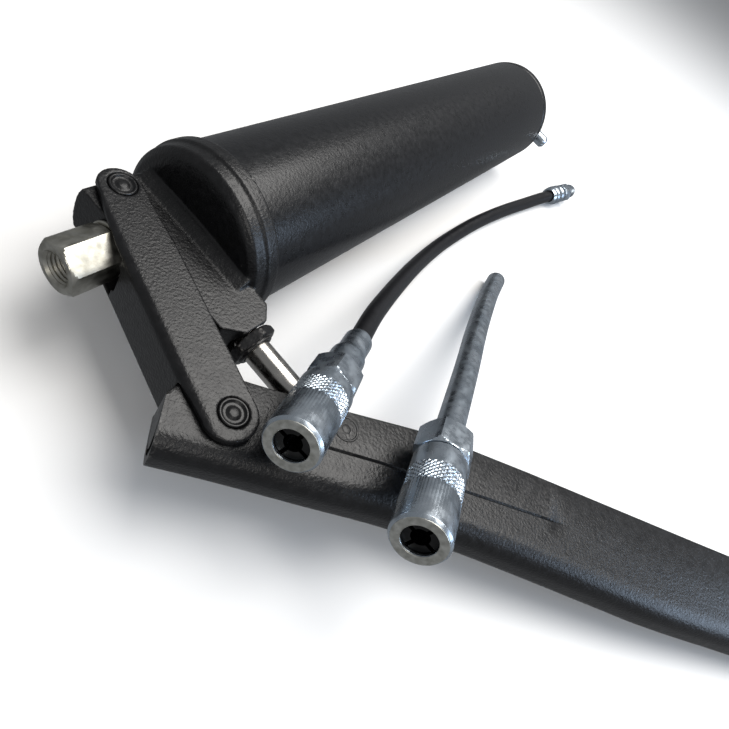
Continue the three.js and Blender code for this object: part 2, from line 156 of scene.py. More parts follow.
def lathe_data(profile, segments=96):
    """Points and faces of a profile spun round local Z."""
    verts, faces, rings = [], [], []
    for along, radius in profile:
        if radius < 1e-6:
            rings.append([len(verts)])
            verts.append((0, 0, along))
        else:
            rings.append(list(range(len(verts), len(verts) + segments)))
            for k in range(segments):
                a = 2 * math.pi * k / segments
                verts.append((radius * math.cos(a), radius * math.sin(a), along))
    pairs = list(zip(rings, rings[1:]))
    if profile[0][1] > 1e-6 and profile[-1][1] > 1e-6:
        pairs.append((rings[-1], rings[0]))
    for low, high in pairs:
        for k in range(segments):
            j = (k + 1) % segments
            if len(low) == 1 and len(high) == 1:
                continue
            if len(low) == 1:
                faces.append((low[0], high[j], high[k]))
            elif len(high) == 1:
                faces.append((low[k], low[j], high[0]))
            else:
                faces.append((low[k], low[j], high[j], high[k]))
    return verts, faces


def turned(name, profile, place, segments=96, edge_angle=32):
    verts, faces = lathe_data(eased(profile), segments)
    return new_piece(name, verts, faces, place, edge_angle)


def prism(name, outline, low, high, place):
    """An outline pushed from low to high along local Z."""
    n = len(outline)
    verts = [(x, y, low) for x, y in outline] + [(x, y, high) for x, y in outline]
    faces = [tuple(range(n - 1, -1, -1)), tuple(range(n, 2 * n))]
    faces += [(i, (i + 1) % n, n + (i + 1) % n, n + i) for i in range(n)]
    return new_piece(name, verts, faces, place)


def arc(cx, cy, r, start, stop, count):
    return [
        (cx + r * math.cos(math.radians(start + (stop - start) * i / count)),
         cy + r * math.sin(math.radians(start + (stop - start) * i / count)))
        for i in range(count + 1)
    ]


# %% [markdown]
# ## Helpers for cast and pressed parts
# A casting starts as simple blocks joined and cut. Rebuilding the result in small even cells and then
# relaxing it rounds every edge and fills every inside corner, as a mould and a coat of powder do.

# %% Joining, cutting and softening
def cut(piece, tool, mode="DIFFERENCE"):
    step = piece.modifiers.new(mode.lower(), "BOOLEAN")
    step.operation = mode
    step.object = tool
    step.solver = "EXACT"
    settle(piece)
    bpy.data.objects.remove(tool)


def settle(piece):
    """Applies every modifier, so that the piece's mesh is its final shape."""
    bpy.context.view_layer.update()
    ready = piece.evaluated_get(bpy.context.evaluated_depsgraph_get())
    mesh = bpy.data.meshes.new_from_object(ready)
    piece.modifiers.clear()
    piece.data = mesh


def soften(piece, cell, rounds):
    """Rebuilds the surface in cells of that size in millimetres and relaxes it."""
    rebuild = piece.modifiers.new("rebuild", "REMESH")
    rebuild.mode = "VOXEL"
    rebuild.voxel_size = cell * MM
    relax = piece.modifiers.new("relax", "SMOOTH")
    relax.factor = 0.5
    relax.iterations = rounds
    settle(piece)
    piece.data.shade_smooth()
    print(piece.name, "has", len(piece.data.polygons), "faces")


# %% [markdown]
# ## Finishes
# The castings and the lever have a black powder coat: fine, slightly lumpy like orange peel, half
# glossy. The barrel's coat is smoother. The couplers are zinc plated, which is a cool grey metal with
# faint clouds and turning lines. All of it is made from noise in the shader, so nothing is painted on.

# %% Finishes
def new_finish(name, colour, rough, metal=0.0):
    made = bpy.data.materials.new(name)
    made.use_nodes = True
    shader = made.node_tree.nodes["Principled BSDF"]
    shader.inputs["Base Color"].default_value = (*colour, 1)
    shader.inputs["Roughness"].default_value = rough
    shader.inputs["Metallic"].default_value = metal
    return made, made.node_tree.nodes, made.node_tree.links, shader


def noise(nodes, links, scale, detail=3.0, stretch=(1, 1, 1)):
    """Noise fixed to the piece, scale in cells per metre."""
    spot = nodes.new("ShaderNodeTexCoord")
    stretcher = nodes.new("ShaderNodeMapping")
    stretcher.inputs["Scale"].default_value = stretch
    cloud = nodes.new("ShaderNodeTexNoise")
    cloud.inputs["Scale"].default_value = scale
    cloud.inputs["Detail"].default_value = detail
    links.new(spot.outputs["Object"], stretcher.inputs["Vector"])
    links.new(stretcher.outputs["Vector"], cloud.inputs["Vector"])
    return cloud.outputs["Fac"]


def spread(nodes, links, value, low, high, start=0.3, stop=0.7):
    """A value stretched to run from low to high."""
    band = nodes.new("ShaderNodeMapRange")
    band.inputs["From Min"].default_value = start
    band.inputs["From Max"].default_value = stop
    band.inputs["To Min"].default_value = low
    band.inputs["To Max"].default_value = high
    links.new(value, band.inputs["Value"])
    return band.outputs["Result"]


def tint(nodes, links, value, dark, light):
    ramp = nodes.new("ShaderNodeValToRGB")
    ramp.color_ramp.elements[0].position = 0.35
    ramp.color_ramp.elements[1].position = 0.7
    ramp.color_ramp.elements[0].color = (*dark, 1)
    ramp.color_ramp.elements[1].color = (*light, 1)
    links.new(value, ramp.inputs["Fac"])
    return ramp.outputs["Color"]


def bumps(nodes, links, shader, heights):
    """Stacks bumps: each is (value, strength, depth in millimetres)."""
    last = None
    for value, strength, depth in heights:
        bump = nodes.new("ShaderNodeBump")
        bump.inputs["Strength"].default_value = strength
        bump.inputs["Distance"].default_value = depth * MM
        links.new(value, bump.inputs["Height"])
        if last:
            links.new(last.outputs["Normal"], bump.inputs["Normal"])
        last = bump
    links.new(last.outputs["Normal"], shader.inputs["Normal"])


def powder_coat(name, base, rough, grain, depth, worn=0.0):
    made, nodes, links, shader = new_finish(name, base, rough)
    fine = noise(nodes, links, grain, 2.0)
    broad = noise(nodes, links, 420, 4.0)
    light = tuple(c * 1.6 + 0.001 for c in base)
    colour = tint(nodes, links, broad, base, light)
    if worn:
        edges = nodes.new("ShaderNodeNewGeometry")
        edge = spread(nodes, links, edges.outputs["Pointiness"], 0, worn, 0.53, 0.62)
        specks = spread(nodes, links, noise(nodes, links, 900, 4.0), 0, 1, 0.5, 0.62)
        both = nodes.new("ShaderNodeMath")
        both.operation = "MULTIPLY"
        links.new(edge, both.inputs[0])
        links.new(specks, both.inputs[1])
        mixed = nodes.new("ShaderNodeMix")
        mixed.data_type = "RGBA"
        mixed.inputs["B"].default_value = (0.42, 0.40, 0.38, 1)
        links.new(both.outputs[0], mixed.inputs["Factor"])
        links.new(colour, mixed.inputs["A"])
        colour = mixed.outputs["Result"]
    links.new(colour, shader.inputs["Base Color"])
    links.new(spread(nodes, links, broad, rough - 0.05, rough + 0.05), shader.inputs["Roughness"])
    bumps(nodes, links, shader, [(fine, 1.0, depth), (noise(nodes, links, 260, 3.0), 0.08, depth)])
    shader.inputs["Specular IOR Level"].default_value = 0.4
    return made


def zinc_plate(name, dark, light, rough, lines=(1, 1, 1), cloud_size=110):
    made, nodes, links, shader = new_finish(name, light, rough, 1.0)
    clouds = noise(nodes, links, cloud_size, 5.0)
    streaks = noise(nodes, links, 900, 2.0, lines)
    links.new(tint(nodes, links, clouds, dark, light), shader.inputs["Base Color"])
    wear = noise(nodes, links, 350, 4.0)
    links.new(spread(nodes, links, wear, rough - 0.08, rough + 0.12), shader.inputs["Roughness"])
    bumps(nodes, links, shader, [(streaks, 0.22, 0.03), (noise(nodes, links, 1700, 2.0), 0.16, 0.02)])
    return made


finish = {
    "black_casting": powder_coat("black_casting", (0.0045, 0.0045, 0.005), 0.36, 1150, 0.16, worn=0.5),
    "black_tube": powder_coat("black_tube", (0.0035, 0.0037, 0.0045), 0.31, 1000, 0.09),
    "black_pin": powder_coat("black_pin", (0.004, 0.004, 0.0045), 0.36, 1600, 0.07, worn=0.3),
    "zinc": zinc_plate("zinc", (0.42, 0.48, 0.54), (0.62, 0.68, 0.74), 0.27, (1, 1, 14)),
    "outlet_zinc": zinc_plate("outlet_zinc", (0.30, 0.29, 0.25), (0.56, 0.55, 0.50), 0.36, (6, 1, 1), 240),
    "bright_steel": zinc_plate("bright_steel", (0.42, 0.40, 0.37), (0.58, 0.56, 0.53), 0.2, (1, 1, 30), 60),
    "machined_ring": zinc_plate("machined_ring", (0.42, 0.42, 0.38), (0.70, 0.70, 0.66), 0.36, (1, 1, 1), 500),
    "jaw_steel": zinc_plate("jaw_steel", (0.012, 0.012, 0.012), (0.05, 0.05, 0.05), 0.34),
    "spring_steel": zinc_plate("spring_steel", (0.25, 0.25, 0.26), (0.40, 0.40, 0.42), 0.3),
    "rubber": powder_coat("rubber", (0.010, 0.010, 0.011), 0.62, 1900, 0.03),
    "hose_plastic": powder_coat("hose_plastic", (0.004, 0.004, 0.005), 0.34, 700, 0.02),
}
print("finishes:", ", ".join(finish))


def dress(piece, look, body, slot, *nodes):
    """Gives a piece its finish and its body, and hides the CAD nodes it stands for. The slot argument is not used."""
    piece.data.materials.clear()
    piece.data.materials.append(finish[look])
    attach(piece, body)
    if nodes:
        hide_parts(*nodes)
    return piece


# %% [markdown]
# ## The hose
# It is a smooth black plastic hose, 7.4 mm across. It comes straight out of its crimped sleeve, leans
# over the lever's edge, drops to the table and lies there in one long easy bend to its threaded end.
# A curve with a round section is the plainest way to make it, and its line is its centre line.

# %% Hose
HOSE_MOUTH = Vector((-30.4, -71.2, 25.45))
HOSE_TAIL = Vector((11.13, -63.34, 13.23))
hose_axis = (HOSE_TAIL - HOSE_MOUTH).normalized()
hose_route = [HOSE_MOUTH + hose_axis * s for s in (34.5, 48, 60)]
hose_route += [Vector(p) for p in (
    (48.1, -55.8, 2.5), (70.3, -52.4, -4.1), (87, -50.2, -8.9), (105.4, -48, -13.6), (121.1, -46.5, -17.2),
    (136.3, -45.4, -19.9), (151, -44.8, -21.5), (165.8, -44.8, -22.2), (192.2, -45.9, -22.2), (223.9, -49.2, -22),
    (254, -53.9, -21.5), (272, -57.2, -20.4), (284, -59.9, -19.3), (296, -62.6, -18.6))]


def smooth_line(points, per_span=8):
    """Points along a smooth curve through the given ones, in the CAD's own way of rounding them."""
    pts = [points[0] * 2 - points[1], *points, points[-1] * 2 - points[-2]]
    out = []
    for i in range(1, len(pts) - 2):
        p0, p1, p2, p3 = pts[i - 1:i + 3]
        t1 = (p1 - p0).length ** 0.5
        t2 = t1 + (p2 - p1).length ** 0.5
        t3 = t2 + (p3 - p2).length ** 0.5
        for k in range(per_span):
            t = t1 + (t2 - t1) * k / per_span
            a1 = p0 * ((t1 - t) / t1) + p1 * (t / t1)
            a2 = p1 * ((t2 - t) / (t2 - t1)) + p2 * ((t - t1) / (t2 - t1))
            a3 = p2 * ((t3 - t) / (t3 - t2)) + p3 * ((t - t2) / (t3 - t2))
            b1 = a1 * ((t2 - t) / t2) + a2 * (t / t2)
            b2 = a2 * ((t3 - t) / (t3 - t1)) + a3 * ((t - t1) / (t3 - t1))
            out.append(b1 * ((t2 - t) / (t2 - t1)) + b2 * ((t - t1) / (t2 - t1)))
    out.append(points[-1])
    return out


def round_along(name, line, radius, sides=24, bore=0.0):
    """A round bar or tube along a line, both in millimetres, with its ends closed."""
    verts, faces = [], []
    radii = [radius, bore] if bore else [radius]
    layers = []
    up = Vector((0, 0, 1))
    for r in radii:
        layer = []
        for i, p in enumerate(line):
            ahead = (line[min(i + 1, len(line) - 1)] - line[max(i - 1, 0)]).normalized()
            side = up.cross(ahead).normalized()
            top = ahead.cross(side)
            ring = []
            for k in range(sides):
                a = 2 * math.pi * k / sides
                ring.append(len(verts))
                verts.append(tuple(p + side * (r * math.cos(a)) + top * (r * math.sin(a))))
            layer.append(ring)
        layers.append(layer)
    for layer in layers:
        for low, high in zip(layer, layer[1:]):
            faces += [(low[k], low[(k + 1) % sides], high[(k + 1) % sides], high[k]) for k in range(sides)]
    for end in (0, -1):
        if bore:
            a, b = layers[0][end], layers[1][end]
            faces += [(a[k], a[(k + 1) % sides], b[(k + 1) % sides], b[k]) for k in range(sides)]
        else:
            faces.append(tuple(layers[0][end]))
    return new_piece(name, verts, faces, Matrix.Identity(4), 50)


hose_line = smooth_line(hose_route)
hose = round_along("hose", hose_line, 3.6, 28)
dress(hose, "hose_plastic", "hose", "hose_plastic", "hose_tube")

# %% [markdown]
# ## Hexagonal bodies
# A hexagonal bar is chamfered on the lathe, which leaves the curved bright arcs at the ends of its
# flats. The same shape is made here by pinching each corner in as it nears the end.

# %% Hexagon
def hexagon(name, across, low, high, place, bore=0.0, corner_turn=30.0, chamfer=1.0):
    """A chamfered hexagonal bar from low to high along local Z, with a hole through it if bore."""
    flat = across / 2
    sides = 72
    verts, faces, rings = [], [], []
    corner = flat / math.cos(math.pi / 6)
    levels = [low, low + chamfer * 0.25, low + chamfer * 0.55, low + chamfer, high - chamfer,
              high - chamfer * 0.55, high - chamfer * 0.25, high]
    for level in levels:
        inset = min(level - low, high - level) / chamfer
        cap = flat * 0.985 + (corner - flat * 0.985) * min(1.0, inset)
        ring = []
        for k in range(sides):
            a = 2 * math.pi * k / sides
            local = (a + math.pi / 6) % (math.pi / 3) - math.pi / 6
            r = min(flat / math.cos(local), cap, corner * 0.985)
            a += math.radians(corner_turn)
            ring.append(len(verts))
            verts.append((r * math.cos(a), r * math.sin(a), level))
        rings.append(ring)
    if bore:
        inner = []
        for level in (high, low):
            ring = []
            for k in range(sides):
                a = 2 * math.pi * k / sides + math.radians(corner_turn)
                ring.append(len(verts))
                verts.append((bore * math.cos(a), bore * math.sin(a), level))
            inner.append(ring)
        rings = rings + inner + [rings[0]]
    for one, two in zip(rings, rings[1:]):
        faces += [(one[k], one[(k + 1) % sides], two[(k + 1) % sides], two[k]) for k in range(sides)]
    if not bore:
        faces += [tuple(rings[0]), tuple(rings[-1])]
    return new_piece(name, verts, faces, place, 20)


# %% [markdown]
# ## Jaw couplers
# Each coupler is a zinc sleeve with a bright faced mouth and a band of crossed knurling to grip it by,
# screwed onto a hexagonal body. The knurling is real geometry: the band's points are pressed in along
# two crossed sets of spiral lines, which leaves the small diamonds.

# %% Couplers
def direction(start, stop):
    """Local Z turned to point from start to stop, local X kept as level as it can be."""
    z = (stop - start).normalized()
    x = Vector((0, 0, 1)).cross(z).normalized()
    y = z.cross(x)
    return Matrix((x, y, z)).transposed().to_4x4()


def knurl_depth(angle, along, starts=30, lead=0.66):
    one = abs(((angle / (2 * math.pi)) * starts + along * lead) % 1 - 0.5)
    two = abs(((angle / (2 * math.pi)) * starts - along * lead) % 1 - 0.5)
    return 0.34 * max(0.0, max(one, two) - 0.30) / 0.20


def knurled_sleeve(name, place, start, stop, end):
    """The turned sleeve with a knurled band from start to stop, as long as end."""
    outside = eased([(0.15, 7.05, 0.1), (0.15, 7.3, 0.2), (1.0, 7.9, 0.15), (start - 0.4, 7.9), (start, 7.86)])
    band = [(start + (stop - start) * i / 44, 7.88) for i in range(1, 44)]
    tail = eased([(stop, 7.86), (stop + 0.4, 7.9), (end - 0.7, 7.9, 0.3), (end, 7.4, 0.2), (end, 6.5), (11.5, 6.5),
                  (11.5, 5.3), (1.6, 5.3), (1.3, 4.75, 0.2), (0.5, 4.75, 0.2), (0.15, 5.1)])
    verts, faces = lathe_data(outside + band + tail, 300)
    for i, (x, y, z) in enumerate(verts):
        if start < z < stop and math.hypot(x, y) > 7.6:
            shrink = 1 - knurl_depth(math.atan2(y, x), z) / 7.88
            verts[i] = (x * shrink, y * shrink, z)
    return new_piece(name, verts, faces, place, 28)


def make_coupler(prefix, mouth, tail, body, across, hex_from, hex_to, corner_turn):
    place = moved(*mouth) @ direction(mouth, tail)
    sleeve = knurled_sleeve(prefix + "_sleeve", place, 14.8, 22.0, hex_from - 0.3)
    dress(sleeve, "zinc", body, "zinc", prefix + "_coupler_sleeve")
    face = turned(prefix + "_mouth_ring", [
        (0.0, 4.85, 0.15), (0.0, 7.1, 0.1), (0.3, 7.25), (0.35, 7.1), (0.4, 4.8), (0.15, 4.7)], place, 120)
    dress(face, "machined_ring", body, "zinc")
    nut = hexagon(prefix + "_body", across, hex_from, hex_to, place, corner_turn=corner_turn)
    dress(nut, "zinc", body, "zinc", prefix + "_coupler_body")
    for i in range(1, 5):
        jaw = frame["nodes"][f"{prefix}_coupler_jaw_{i}"]
        jaw.data.materials.clear()
        jaw.data.materials.append(finish["jaw_steel"])
    return [sleeve, face, nut], place


hose_coupler, hose_place = make_coupler("hose", HOSE_MOUTH, HOSE_TAIL, "hose", 14.4, 27.3, 37.6, 72.2 - 30)
PIPE_MOUTH = Vector((-21.98, -107.54, 28.11))
PIPE_TAIL = Vector((19.93, -99.93, 17.07))
pipe_coupler, _ = make_coupler("pipe", PIPE_MOUTH, PIPE_TAIL, "pipe", 15.6, 30.9, 42.4, 48.3 - 30)
print("coupler pieces:", [p.name for p in hose_coupler + pipe_coupler])

# %% [markdown]
# ## Crimped sleeves and the threaded end
# A sleeve is pressed onto the hose at each end in two or three rings, which grip it. The far end
# carries a small hexagon and a threaded spigot. A real thread winds, but at this size plain rings with
# the thread's own section look the same and close cleanly.

# %% Ferrules and fitting
crimp = [
    (37.5, 3.75), (37.5, 6.0, 0.3), (38.4, 6.0, 0.3), (38.8, 5.5, 0.3), (46.8, 5.7, 0.5), (48.2, 5.6, 0.6),
    (48.8, 4.85, 0.3), (51, 4.8), (54, 4.75), (60.4, 4.8, 0.5), (61.9, 4.2, 0.3), (62, 3.75)]
ferrule = turned("hose_crimp", crimp, hose_place, 96)
dress(ferrule, "zinc", "hose", "zinc", "hose_ferrule")
END_START = Vector((284, -59.9, -19.3))
END_STOP = Vector((296, -62.6, -18.6))
end_place = moved(*END_START) @ direction(END_START, END_STOP)
end_ferrule = turned("hose_end_crimp", [
    (-1, 3.95), (-1, 4.6, 0.3), (0.6, 5.4, 0.5), (3, 5.3, 0.4), (3.8, 5.85, 0.5), (6.4, 5.85, 0.5), (7.0, 5.3, 0.4),
    (8.6, 5.3, 0.4), (9.4, 5.85, 0.5), (12.0, 5.6, 0.3), (12.6, 5.0, 0.2), (12.6, 3.95)], end_place, 96)
dress(end_ferrule, "zinc", "hose", "zinc", "hose_end_ferrule")


def thread_rings(low, high, crest, root, pitch):
    """The section of a thread as points along and out."""
    points = []
    at = low
    while at + pitch <= high:
        points += [(at, root), (at + pitch * 0.42, crest), (at + pitch * 0.55, crest)]
        at += pitch
    return points + [(at, root), (high, root)]


end_hex = hexagon("hose_end_hexagon", 11, 13.2, 20, end_place, chamfer=0.7)
dress(end_hex, "zinc", "hose", "zinc", "hose_end_fitting")
end_thread = turned("hose_end_thread", [
    (19.9, 0), (19.9, 4.1), *thread_rings(20.3, 28.2, 4.5, 3.95, 1.0), (29, 3.7), (29, 1.8), (21, 1.8), (21, 0)],
    end_place, 72, 18)
dress(end_thread, "zinc", "hose", "zinc")

# %% [markdown]
# ## The rigid pipe
# A steel tube with a gentle bend, zinc plated. Its coupler tips up over the lever's rounded back and
# its tail rests on the table.

# %% Pipe
pipe_axis = (PIPE_TAIL - PIPE_MOUTH).normalized()
pipe_route = [PIPE_MOUTH + pipe_axis * s for s in (42.5, 48)]
pipe_route += [Vector(p) for p in (
    (47.1, -95.3, 9.9), (66.5, -91.9, 4.8), (85.7, -88.3, -0.3), (104.4, -85.1, -5.3), (123.4, -82.1, -10.1),
    (141.9, -79.5, -14.8), (163.2, -77.2, -19.75))]
pipe = round_along("pipe", smooth_line(pipe_route), 4.5, 40, bore=2.4)
dress(pipe, "zinc", "pipe", "zinc", "pipe_tube")

# %% [markdown]
# ## Barrel
# A drawn steel tube, 57 mm across, coated black. It screws into the bell of the head. The far end is
# closed by a pressed cap with a rolled edge and a hole for the follower's rod.

# %% Barrel and cap
barrel = turned("barrel", [
    (11.9, 27.4), (11.9, 28.1, 0.2), (12.3, 28.5), (60, 28.5), (120, 28.5), (180, 28.5), (230, 28.5),
    (267.4, 28.5, 0.4), (267.9, 28.1), (267.9, 27.4)], ALONG_X, 192)
dress(barrel, "black_tube", "gun_body", "black_tube", "barrel_tube")
cap = turned("barrel_cap", [
    (261, 24.5), (261, 27.1), (268.2, 27.1), (268.25, 28.1, 0.2), (268.8, 28.5, 0.3), (272.9, 28.5, 1.6),
    (274.7, 26.6, 1.2), (274.7, 23.0, 1.2), (272.8, 20.0, 1.5), (272.6, 8, 1), (272.6, 4.6, 0.5), (272.0, 3.6, 0.3),
    (269.6, 3.6), (269.6, 24.5)], ALONG_X, 160)
dress(cap, "black_tube", "gun_body", "black_tube", "barrel_end_cap")

# %% [markdown]
# ## Head
# One iron casting: a deep block that holds the plunger's bore, and behind it a bell with a stepped
# skirt that the barrel screws into. The block flares where it meets the bell. It is joined from simple
# blocks, then rebuilt and relaxed, which leaves the soft edges of a casting under its coat.

# %% Head
head = prism("head", eased([
    (-16, 26, 2.0), (-16, -3, 4), (-10.6, -24, 6), (-10.6, -33.2, 1.5), (-4.6, -38.4, 1.2), (4.2, -38.4, 1.2),
    (8.8, -34, 1.8), (8.8, 20), (8.8, 26)], closed=True), -8.1, 8.1, Matrix.Identity(4))
end_outline = [(-50, -8.1), (-50, 8.1)] + [(y, z) for z, y in arc(0, 6.6, 18.2, 63.6, 116.4, 16)]
end_shape = prism("end_shape", end_outline, -30, 30, DRAWN_FACING_X)
cut(head, end_shape, "INTERSECT")
bell = turned("bell", [
    (7.6, 0), (7.4, 12, 3), (6.7, 24.0, 2.5), (6.9, 26.8, 1.5), (8.6, 29.1, 1.6), (12.2, 29.3, 0.5), (13.2, 30.2, 0.6),
    (17.7, 30.2, 0.35), (17.7, 28.8), (9.6, 28.8), (9.6, 0)], ALONG_X, 160)
cut(head, bell, "UNION")
flare = prism("flare", [(2.2, 8.0), (6.2, 10.2), (9, 11.0), (9, -11.0), (6.2, -10.2), (2.2, -8.0)], -26, 22, Matrix(
    ((1, 0, 0, 0), (0, 0, 1, 0), (0, 1, 0, 0), (0, 0, 0, 1))))
cut(head, flare, "UNION")
bore = turned("bore", [(-31.5, 0), (-31.5, 6.6), (-45, 6.6), (-45, 0)], ALONG_Y, 64)
cut(head, bore)
OUTLET_HEIGHT = 6.6
outlet_place = moved(0, OUTLET_HEIGHT, 0) @ ALONG_X
outlet_hole = turned("outlet_hole", [(-30, 0), (-30, 5.0), (-4, 5.0), (-4, 0)], outlet_place, 64)
cut(head, outlet_hole)
soften(head, 0.42, 5)
dress(head, "black_casting", "gun_body", "black_casting", "head_casting")

# %% [markdown]
# ## Link
# Two straps joined by a web along their middle, bent from one plate. The straps have round ends, and a
# shallow seat round each pin. The web stops short of both ends, to clear the outlet and the lever. Its
# top edge is also cut back where the outlet's hexagon passes as the link swings.

# %% Link
STRAP_OUT = 11.35
STRAP_IN = 8.65
OUTLET_ROOM = 16.4
link_dir = PIN_B - PIN_A
link_length = link_dir.length
link_place = moved(*PIN_A) @ Matrix.Rotation(math.atan2(link_dir.y, link_dir.x), 4, "Z")
link_outline = [(a, p * 0.98 - 0.9) for a, p in arc(0.6, 0, 7.0, 240, 90, 20)]
link_outline += [(8, 6.0), (22, 6.9), (60, 7.0)] + arc(link_length, -0.8, 7.9, 80, -98, 24)
link_outline += [(70, -8.9), (64, -9.4), (22, -9.4), (10, -8.5)]
link = prism("link", link_outline, -STRAP_OUT, STRAP_OUT, link_place)
section = [(12, -STRAP_OUT), (12, STRAP_OUT)] + arc(-6.4, 8.35, 3, 90, 180, 8) + arc(-6.4, -8.35, 3, 180, 270, 8)
cut(link, prism("web_round", section, -30, 110, link_place @ DRAWN_FACING_X), "INTERSECT")
cut(link, prism("slot", [(-30, -6.7), (120, -6.7), (120, 30), (-30, 30)], -STRAP_IN, STRAP_IN, link_place))
cut(link, prism("web_top", [(-30, -20), (23.5, -20), (25, -6), (-30, 10)], -STRAP_IN, STRAP_IN, link_place))
cut(link, prism("web_end", [(63.5, -20), (120, -20), (120, 10), (63.5, 10)], -STRAP_IN, STRAP_IN, link_place))
for along in (0, link_length):
    for side in (1, -1):
        seat = turned("seat", [(10.3, 0), (10.3, 4.5), (20, 4.5), (20, 0)],
                      link_place @ moved(along, 0, 0) @ Matrix.Scale(side, 4, (0, 0, 1)), 64)
        cut(link, seat)
for swing in (0, 2.7, 5.4, 8.1):
    swung = moved(*PIN_A) @ Matrix.Rotation(math.radians(swing), 4, "Z") @ moved(*-PIN_A)
    cut(link, hexagon("outlet_room", OUTLET_ROOM, -44, -12, swung @ outlet_place, corner_turn=30))
soften(link, 0.36, 4)
dress(link, "black_casting", "link", "black_casting", "link")

# %% [markdown]
# ## Lever
# A channel bent from thick sheet: its back is rounded and its open side faces the barrel. It grows
# deeper towards the grip. A thin pressed line runs along each side and ends in a small dent. The
# section is drawn once and carried along the lever's back, with the height of its sides taken from the
# lever's own outline at each step. The near end is cut a little off square, along a slanting plane.

# %% Lever
HALF = 8.2
SHEET = 2.4
END_RADIUS = 12.5
LINE_FROM, LINE_TO, DENT_FROM, DENT_TO = 40, 128, 124, 130
NEAR_CORNER = Vector((-48.5, -50.1))
NEAR_NORMAL = Vector((0.6563, -0.7545))
NEAR_SLANT = 0.08
lever_back = smooth_line([Vector(p) for p in (
    (-48.5, -50.3, 0), (-37.2, -64.4, 0), (-20.7, -86.1, 0), (-5.9, -105.4, 0), (9.3, -127.6, 0),
    (18.7, -142.7, 0), (40.6, -179.2, 0), (52.1, -198.3, 0), (80.7, -240.9, 0), (108.7, -282.8, 0))], 14)
lever_edge = [Vector(p) for p in (
    (-37.6, -40.6), (-33.8, -40.2), (-28.5, -41.2), (-17.5, -47.4), (-12.1, -54.0), (5.7, -75.2),
    (21.0, -92.4), (25.5, -97.8), (29.4, -103.3), (48.2, -130.6), (92.2, -196.8), (139, -266.6), (160, -298))]
press_line = [Vector(p) for p in ((-14, -72.5), (1.3, -91.7), (19.9, -117.2), (42, -147.5), (60, -172))]


def reach(start, across, line):
    """How far from start, going across, a line of points is met."""
    for a, b in zip(line, line[1:]):
        side = b - a
        det = across.x * -side.y + side.x * across.y
        if abs(det) < 1e-9:
            continue
        d = a - start
        t = (d.x * -side.y + side.x * d.y) / det
        u = (across.x * d.y - across.y * d.x) / det
        if -1e-6 <= u <= 1 + 1e-6 and t > 0:
            return t
    return None


def lever_section(low, high, line_at, line_depth):
    """The channel's closed section as (across, height) points, for one step along the lever."""
    r_out, r_in, lip = 6.6, 4.2, 0.8
    side = [(low + r_out + (high - low - r_out) * f) for f in (0.06, 0.12, 0.2)]
    mark = [line_at - 0.55, line_at - 0.2, line_at, line_at + 0.2, line_at + 0.55]
    press = [0, 0.3 * line_depth, 0.5 * line_depth, 0.3 * line_depth, 0]
    heights = side + [max(m, side[-1] + 0.05 * (i + 1)) for i, m in enumerate(mark)]
    depths = [0, 0, 0] + press
    outer = [(HALF - dp, h) for h, dp in zip(heights, depths)] + [(HALF, high - lip)]
    lips = [(x + HALF - SHEET / 2, y + high - lip) for x, y in arc(0, 0, 1, 25, 155, 5)]
    middle = HALF - SHEET / 2
    lips = [(middle + (x - middle) * SHEET / 2, high - lip + (y - high + lip) * lip) for x, y in lips]
    inner = [(HALF - SHEET, high - lip), (HALF - SHEET, low + r_out)]
    bend_in = arc(HALF - SHEET - r_in, low + SHEET + r_in, r_in, 0, -90, 6)[1:]
    right_half = outer + lips + inner + bend_in
    bend_out = arc(HALF - r_out, low + r_out, r_out, 0, -90, 10)
    left = [(-x, y) for x, y in reversed(right_half)]
    return right_half + left + [(-x, y) for x, y in bend_out] + [(x, y) for x, y in reversed(bend_out)]


total = sum((b - a).length for a, b in zip(lever_back, lever_back[1:]))
verts, faces, rings = [], [], []
gone = 0.0
for i, p in enumerate(lever_back):
    if i:
        gone += (p - lever_back[i - 1]).length
    ahead = (lever_back[min(i + 1, len(lever_back) - 1)] - lever_back[max(i - 1, 0)]).normalized().xy
    across = Vector((-ahead.y, ahead.x))
    start = p.xy
    high = (reach(start, across, lever_edge) or 17.0)
    left_over = total - gone
    end_round = END_RADIUS - math.sqrt(max(0.0, END_RADIUS ** 2 - max(0.0, END_RADIUS - left_over) ** 2))
    low = end_round * 0.95
    high = high - end_round
    line_at = reach(start, across, press_line) or low + 15
    on_line = 1.0 if LINE_FROM < gone < LINE_TO else 0.0
    if DENT_FROM < gone < DENT_TO:
        on_line = 1.6
    ring = []
    for x, h in lever_section(low, high, line_at, on_line):
        ring.append(len(verts))
        q = start + across * h
        behind = NEAR_NORMAL.dot(q - NEAR_CORNER) - (HALF - x) * NEAR_SLANT
        if behind < 0:
            q = q - ahead * (behind / NEAR_NORMAL.dot(ahead))
        verts.append((q.x, q.y, x))
    rings.append(ring)
n = len(rings[0])
for one, two in zip(rings, rings[1:]):
    faces += [(one[k], one[(k + 1) % n], two[(k + 1) % n], two[k]) for k in range(n)]
faces += [tuple(rings[0]), tuple(rings[-1])]
lever = new_piece("lever_channel", verts, faces, Matrix.Identity(4), 40)
dress(lever, "black_casting", "lever", "black_casting", "lever")
print("lever is", round(total), "mm long with", len(rings), "steps")

# %% [markdown]
# ## Pins
# Each pin is a rivet: its head is pressed into a shallow seat and dished, which leaves a ring, a dark
# hollow and a small raised middle.

